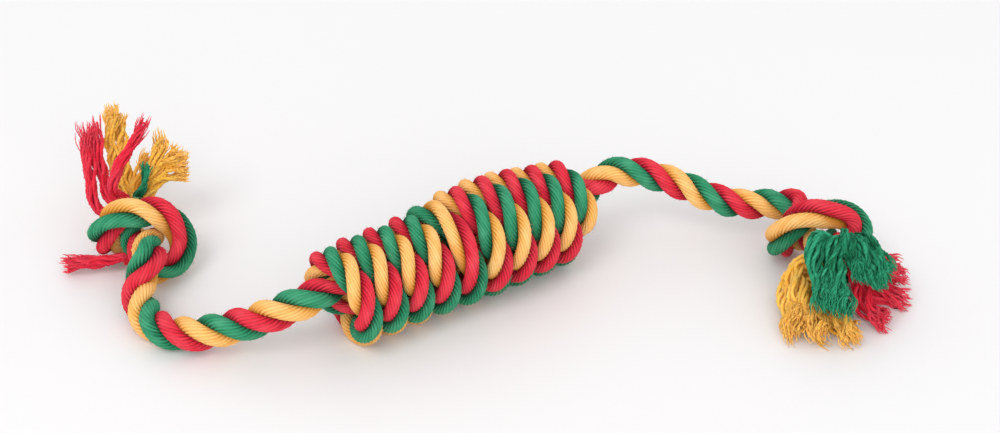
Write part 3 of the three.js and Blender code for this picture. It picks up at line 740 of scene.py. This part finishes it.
def dyed_cotton(name, shade, body, light, scatter, variety):
    """Spun and dyed cotton: matt with a faint sheen and streaked by its fibres; painted shade darkens its
    grooves and creases, and a painted highlight makes its crowns paler.
    """
    material = bpy.data.materials.new(name)
    material.use_nodes = True
    tree = material.node_tree
    tree.nodes.clear()
    crown, yarn, lobe, tucked, fray = (
        add(tree, "ShaderNodeAttribute", attribute_name=attribute).outputs["Fac"]
        for attribute in ("crown", "yarn", "round", "tucked", "fray"))
    place = add(tree, "ShaderNodeTexCoord").outputs["Object"]
    patch = add(tree, "ShaderNodeTexNoise", {"Vector": place, "Scale": DYE_PATCHES, "Detail": 2.0})
    streak = add(tree, "ShaderNodeTexNoise", {
        "Vector": place, "Scale": FIBRE_STREAKS, "Detail": 3.0, "Roughness": 0.6})
    # Shares of colours, each laid over the ones before it: first the yarns' own over the painted shade of
    # the grooves
    layers = [
        (add(tree, "ShaderNodeMapRange", {0: pattern, **tone}), tint) for pattern, tone, tint in (
            (crown, GROOVE_PAINTED_SHADE, body), (patch.outputs[0], PATCH_TONE, light),
            (streak.outputs[0], STREAK_TONE, light))
    ]
    # No two yarns are quite alike in tone
    lobe = add(tree, "ShaderNodeMath", {0: lobe}, operation="ROUND")
    own = add(tree, "ShaderNodeMath", {
        0: yarn, 1: TONE_APART, 2: lobe.outputs[0]}, operation="MULTIPLY_ADD")
    chance = add(tree, "ShaderNodeTexWhiteNoise", {"W": own.outputs[0]}, noise_dimensions="1D")
    for edge, tint in ((0.0, shade), (1.0, light)):
        layers.append((add(tree, "ShaderNodeMapRange", {
            0: chance.outputs["Value"], 1: NOISE_MIDDLE, 2: edge, 4: variety}), tint))
    # Painted shade darkens the creases between strands, a painted highlight makes crowns paler, and cut
    # ends are paler
    for value, tone, tint in (
            (tucked, CREASE_PAINTED_SHADE, shade), (tucked, CROWN_PAINTED_HIGHLIGHT, light), (fray, END_TONE, light)):
        layers.append((add(tree, "ShaderNodeMath", {
            0: value, 1: tone}, operation="MULTIPLY", use_clamp=True), tint))
    colour = linear(shade)
    for share, tint in layers:
        colour = add(tree, "ShaderNodeMix", {
            0: share.outputs[0], 6: colour, 7: linear(tint)}, data_type="RGBA").outputs[2]
    # Cut ends are too thin to hold light
    held = add(tree, "ShaderNodeMapRange", {0: fray, 3: scatter, 4: 0.0}).outputs[0] if scatter else 0.0
    bump = add(tree, "ShaderNodeBump", {
        "Strength": 0.5, "Distance": STREAK_HEIGHT * MM, "Height": streak.outputs[0]})
    cotton = add(tree, "ShaderNodeBsdfPrincipled", {
        "Base Color": colour, "Roughness": 0.88, "IOR": 1.5, "Specular IOR Level": 0.25,
        "Sheen Weight": 0.18, "Sheen Roughness": 0.4, "Sheen Tint": linear(light),
        "Subsurface Weight": held, "Subsurface Radius": (1, 1, 1), "Subsurface Scale": LIGHT_DEPTH * MM,
        "Normal": bump.outputs[0]})
    add(tree, "ShaderNodeOutputMaterial", {"Surface": cotton.outputs[0]})
    return material


# Colours of the painted shade in grooves and creases, of the yarns, and where the dye is thin, which is
# also
# # the painted highlight on crowns; light held, and how far yarns differ.
# Hard-laid rope is even and dense, so that no light goes into it.
LAID_COTTON = {
    "red": dyed_cotton("dyed_cotton_red", "#8c0520", "#d9132f", "#ec5864", 0.0, 0.2),
    "yellow": dyed_cotton("dyed_cotton_yellow", "#d08626", "#f3b45c", "#f6d094", 0.0, 0.2),
    "green": dyed_cotton("dyed_cotton_green", "#044a2e", "#128258", "#5cb088", 0.0, 0.2),
}
# Loose yarn is fluffed up: it holds some light, and its yarns can be told apart.
LOOSE_COTTON = {
    "red": dyed_cotton("loose_cotton_red", "#b80826", "#ee1834", "#f25266", 0.3, 0.5),
    "yellow": dyed_cotton("loose_cotton_yellow", "#ffa52c", "#ffbc40", "#ffd070", 0.4, 0.4),
    "green": dyed_cotton("loose_cotton_green", "#002e1a", "#00683f", "#38ae82", 0.15, 0.75),
}

# Yarns of a strand: how many, their lay, how deep they are parted and how high their lumps are; then the
# length of loose fibres and how many there are to a square millimetre
YARNS = 11
YARN_LAY = 22.0
YARN_GROOVE = 0.15
LUMP = 0.22
FIBRE_LENGTH = 1.1
FIBRES_PER_AREA = 0.34
# Rope pieces: each rides on one body or lies across one joint, and goes a little way into the next,
# # shrunk, so that no seam opens
SEAM_REACH = 2.0
SEAM_SHRINK = 0.86
# How far a piece across a joint goes into its knot, and how far from the joint such a piece reaches
NECK = 13.0
# Room between the seeds of two pieces
SEEDS_PER_PIECE = 10
# The rope's own ends draw in where the tufts start
END_TAPER = 9.0
END_SHRINK = 0.45


def travel_at(joint):
    return rope_travel[joint_row[joint]]


def middle_of(a, b):
    return (travel_at(a) + travel_at(b)) / 2


def stretches():
    """Name, start, stop, joint crossed or None, body or bodies in the order of travel, node replaced."""
    left_knot_stop = travel_at("left_knot_bend") - NECK
    left_neck_stop = middle_of("left_knot_bend", "left_arm_lift")
    left_arm_stop = middle_of("left_arm_lift", "left_arm_swing")
    left_mouth_stop = travel_at("left_arm_swing") + NECK
    right_mouth_start = travel_at("right_arm_swing") - NECK
    right_arm_start = middle_of("right_arm_swing", "right_arm_lift")
    right_neck_start = middle_of("right_arm_lift", "right_knot_bend")
    right_knot_start = travel_at("right_knot_bend") + NECK
    return (
        ("left_knot", 0, left_knot_stop, None, ("left_knot",), "left_knot"),
        ("left_neck", left_knot_stop, left_neck_stop, "left_knot_bend",
         ("left_knot", "left_arm_outer"), "left_arm_outer"),
        ("left_arm", left_neck_stop, left_arm_stop, "left_arm_lift",
         ("left_arm_outer", "left_arm_inner"), "left_arm_inner"),
        ("left_mouth", left_arm_stop, left_mouth_stop, "left_arm_swing",
         ("left_arm_inner", "middle_knot"), "left_arm_inner"),
        ("middle_knot", left_mouth_stop, right_mouth_start, None, ("middle_knot",), "middle_knot"),
        ("right_mouth", right_mouth_start, right_arm_start, "right_arm_swing",
         ("middle_knot", "right_arm_inner"), "right_arm_inner"),
        ("right_arm", right_arm_start, right_neck_start, "right_arm_lift",
         ("right_arm_inner", "right_arm_outer"), "right_arm_inner"),
        ("right_neck", right_neck_start, right_knot_start, "right_knot_bend",
         ("right_arm_outer", "right_knot"), "right_arm_outer"),
        ("right_knot", right_knot_start, rope_travel[-1], None, ("right_knot",), "right_knot"),
    )


def strand_values(strand):
    """Steps along the rope and, for one strand there, its line, outsides, sides, travel and radius."""
    steps = np.linspace(0, rope_travel[-1], round(rope_travel[-1] / RING_STEP) + 1)
    centre, side, up = (points_at(steps, rope_travel, rows) for rows in (rope_line, rope_side, rope_up))
    turns = steps / ROPE_LAY + strand / len(STRAND_ORDER)
    for joint, first, last, gained in LAY_SLIPS:
        share = np.clip((steps - travel_at(joint) - first) / (last - first), 0, 1)
        turns = turns + gained * share ** 2 * (3 - 2 * share)
    lay = LAY_START + math.tau * turns
    squeeze = np.interp(steps, rope_travel, rope_squeeze)
    from_end = np.minimum(steps, rope_travel[-1] - steps)
    squeeze = squeeze * np.interp(from_end, (0, END_TAPER), (END_SHRINK, 1))
    out = side * np.cos(lay)[:, None] + up * np.sin(lay)[:, None]
    line = centre + out * (STRAND_OFFSET * squeeze)[:, None]
    _, sides, _ = frames_along(line, rope_up[0])
    return steps, line, out, sides, travel_along(line), STRAND_RADIUS * squeeze


def add_strands():
    tree = strand_tree()
    for strand, colour in enumerate(STRAND_ORDER):
        steps, line, out, sides, travel, radius = strand_values(strand)
        for number, (name, start, stop, joint, bodies, node) in enumerate(stretches()):
            rows = np.flatnonzero((steps >= start - SEAM_REACH) & (steps <= stop + SEAM_REACH))
            past = np.maximum(start - steps[rows], steps[rows] - stop)
            shrink = blend(1, SEAM_SHRINK, np.clip(past / SEAM_REACH, 0, 1))
            mesh = line_mesh("strand_line", [{
                "place": line[rows] * MM, "line_side": sides[rows], "line_out": out[rows],
                "travel": travel[rows] * MM, "thickness": radius[rows] * shrink * MM,
            }])
            piece = grow(f"{name}_{colour}_strand", tree, mesh, {
                "Yarns": float(YARNS), "Yarn lay": YARN_LAY * MM, "Groove": YARN_GROOVE, "Lump": LUMP * MM,
                "Fibres per area": FIBRES_PER_AREA / MM ** 2, "Fibre length": FIBRE_LENGTH * MM,
                "Seed": SEEDS_PER_PIECE * number + strand, "Cotton": LAID_COTTON[colour],
            })
            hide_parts(f"{node}_{colour}")
            if joint is None:
                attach(piece, bodies[0])
                continue
            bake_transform(piece)


# Tufts: each bundle's line starts inside the knot and goes on past its tip, where all yarns have ended
TUFT_POINTS_PER_SPAN = 24
TUFT_STEP = 1.2
ROOT_BACK = 3.0
PAST_TIP = 4.0
# Radius of a bundle at its root, shares of its length up to which it keeps that and where it is as thick
# as its row says, and how thick it then is at its tip
ROOT_RADIUS = 2.2
ROOT_END = 0.1
FULL_START = 0.3
TIP_SPREAD = 1.12
# A direction that no bundle runs along
TUFT_SIDE = (0.31, 0.57, 0.76)
# Radius of a tuft's yarns, and how many a bundle has for each square millimetre of its thickness squared
YARN_RADIUS = 0.85
YARNS_PER_AREA = 0.32
# How far yarns sway apart for each millimetre that they are crimped
SWAY = 6.0
# Yarns of a tuft, and the threads that open out of the cut end of each
TUFT_YARN = {
    "Threads": 1, "Thickness": YARN_RADIUS * MM, "Tip": 0.35 * MM, "Plies": 3.0, "Ply lay": 7 * MM,
    "Bundle lay": 90 * MM, "Crimp lay": 13 * MM, "Shortest": 0.78, "Longest": 0.93,
    "Back": 1.0, "Past": 0.0, "Opening": 0.0, "Fibres per area": 0.12 / MM ** 2, "Fibre length": 1.2 * MM,
    "Fray": 0.0, "Round": True,
}
TUFT_THREAD = {
    **TUFT_YARN, "Threads": 7, "Thickness": 0.26 * MM, "Tip": 0.09 * MM, "Plies": 1.0,
    "Back": 0.16, "Past": 0.08, "Opening": 1.5 * MM, "Fibres per area": 0.0, "Fray": 1.0,
    "Round": False,
}


def tuft_line(root, inward, middle, tip, thickness, bundle):
    """Middle line of one bundle, from inside the knot to past its tip."""
    points = smooth_line((root, middle, tip), TUFT_POINTS_PER_SPAN)
    beyond = points[-1] + unit(points[-1] - points[-2]) * PAST_TIP
    points = np.vstack((root + inward * ROOT_BACK, points, beyond))
    length = travel_along(points)
    travel = np.linspace(0, length[-1], round(length[-1] / TUFT_STEP) + 1)
    place = points_at(travel, length, points)
    ahead, sides, _ = frames_along(place, np.array(TUFT_SIDE))
    share = travel / travel[-1]
    full = thickness / 2
    wide = np.interp(
        share, (0, ROOT_END, FULL_START, 1), (ROOT_RADIUS, ROOT_RADIUS, full, full * TIP_SPREAD))
    return {
        "place": place * MM, "line_side": sides, "line_ahead": ahead, "share": share,
        "travel": travel * MM, "thickness": (wide - YARN_RADIUS) * MM,
        "bundle": np.full(len(place), bundle),
    }


def add_tufts():
    tree = tuft_tree()
    end = rope_line[0]
    along = unit(LEFT_ALONG)
    across = np.array(LEFT_ACROSS, float)
    front = np.cross(across, along)
    sets = (
        (LEFT_TUFTS, lambda p: end + along * p[0] + across * p[1] + front * p[2], rope_ahead[0]),
        (RIGHT_TUFTS, lambda p: np.array(p) + shift, -rope_ahead[-1]),
    )
    for tufts, to_toy, inward in sets:
        for seed, (name, (colour, crimp, bundles)) in enumerate(tufts.items()):
            root = np.array(joints[name + "_bend"]["pos_m"]) / MM
            lines = [tuft_line(root, inward, to_toy(mid), to_toy(tip), wide, i)
                     for i, (mid, tip, wide) in enumerate(bundles)]
            common = {
                "Yarns": round(bundles[0][2] ** 2 * YARNS_PER_AREA), "Crimp": crimp * MM,
                "Sway": SWAY * crimp * MM, "Seed": seed, "Cotton": LOOSE_COTTON[colour],
            }
            piece = joined(name + "_yarns", [
                grow(f"{name}_{kind}", tree, line_mesh("tuft_line", lines), {**settings, **common})
                for kind, settings in (("yarns", TUFT_YARN), ("threads", TUFT_THREAD))
            ])
            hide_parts(name)
            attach(piece, name)


add_strands()
add_tufts()

# Floor, light and world
FLOOR_HALF = 4.0
# Lamps: name, place and width in metres, watts
LAMPS = (("key", (-1.25, -2, 3), 2.25, 45), ("fill", (0.75, -3, 1.5), 3, 35))
WORLD_STRENGTH = 0.88


def add_floor():
    """A table top of pressed white laminate: even and pale, with a soft gloss."""
    mesh = bpy.data.meshes.new("floor")
    corners = [(x * FLOOR_HALF, y * FLOOR_HALF, 0) for x, y in ((-1, -1), (1, -1), (1, 1), (-1, 1))]
    mesh.from_pydata(corners, [], [(0, 1, 2, 3)])
    floor = bpy.data.objects.new("floor", mesh)
    bpy.context.scene.collection.objects.link(floor)
    material = bpy.data.materials.new("white_laminate")
    material.use_nodes = True
    shader = material.node_tree.nodes["Principled BSDF"]
    shader.inputs["Base Color"].default_value = linear("#e9e8e9")
    shader.inputs["Roughness"].default_value = 0.4
    mesh.materials.append(material)


def add_lamp(name, place, size, power):
    """A soft round lamp that faces the middle of the floor."""
    data = bpy.data.lights.new(name, "AREA")
    data.shape = "DISK"
    data.size = size
    data.energy = power
    lamp = bpy.data.objects.new(name, data)
    bpy.context.scene.collection.objects.link(lamp)
    lamp.location = place
    lamp.rotation_euler = (-Vector(place)).to_track_quat("-Z", "Y").to_euler()


def add_world():
    world = bpy.data.worlds.new("studio")
    bpy.context.scene.world = world
    world.use_nodes = True
    sky = world.node_tree.nodes["Background"]
    sky.inputs["Color"].default_value = (1, 1, 1, 1)
    sky.inputs["Strength"].default_value = WORLD_STRENGTH


add_floor()
for lamp_row in LAMPS:
    add_lamp(*lamp_row)
add_world()
bpy.context.scene.view_settings.view_transform = "Standard"
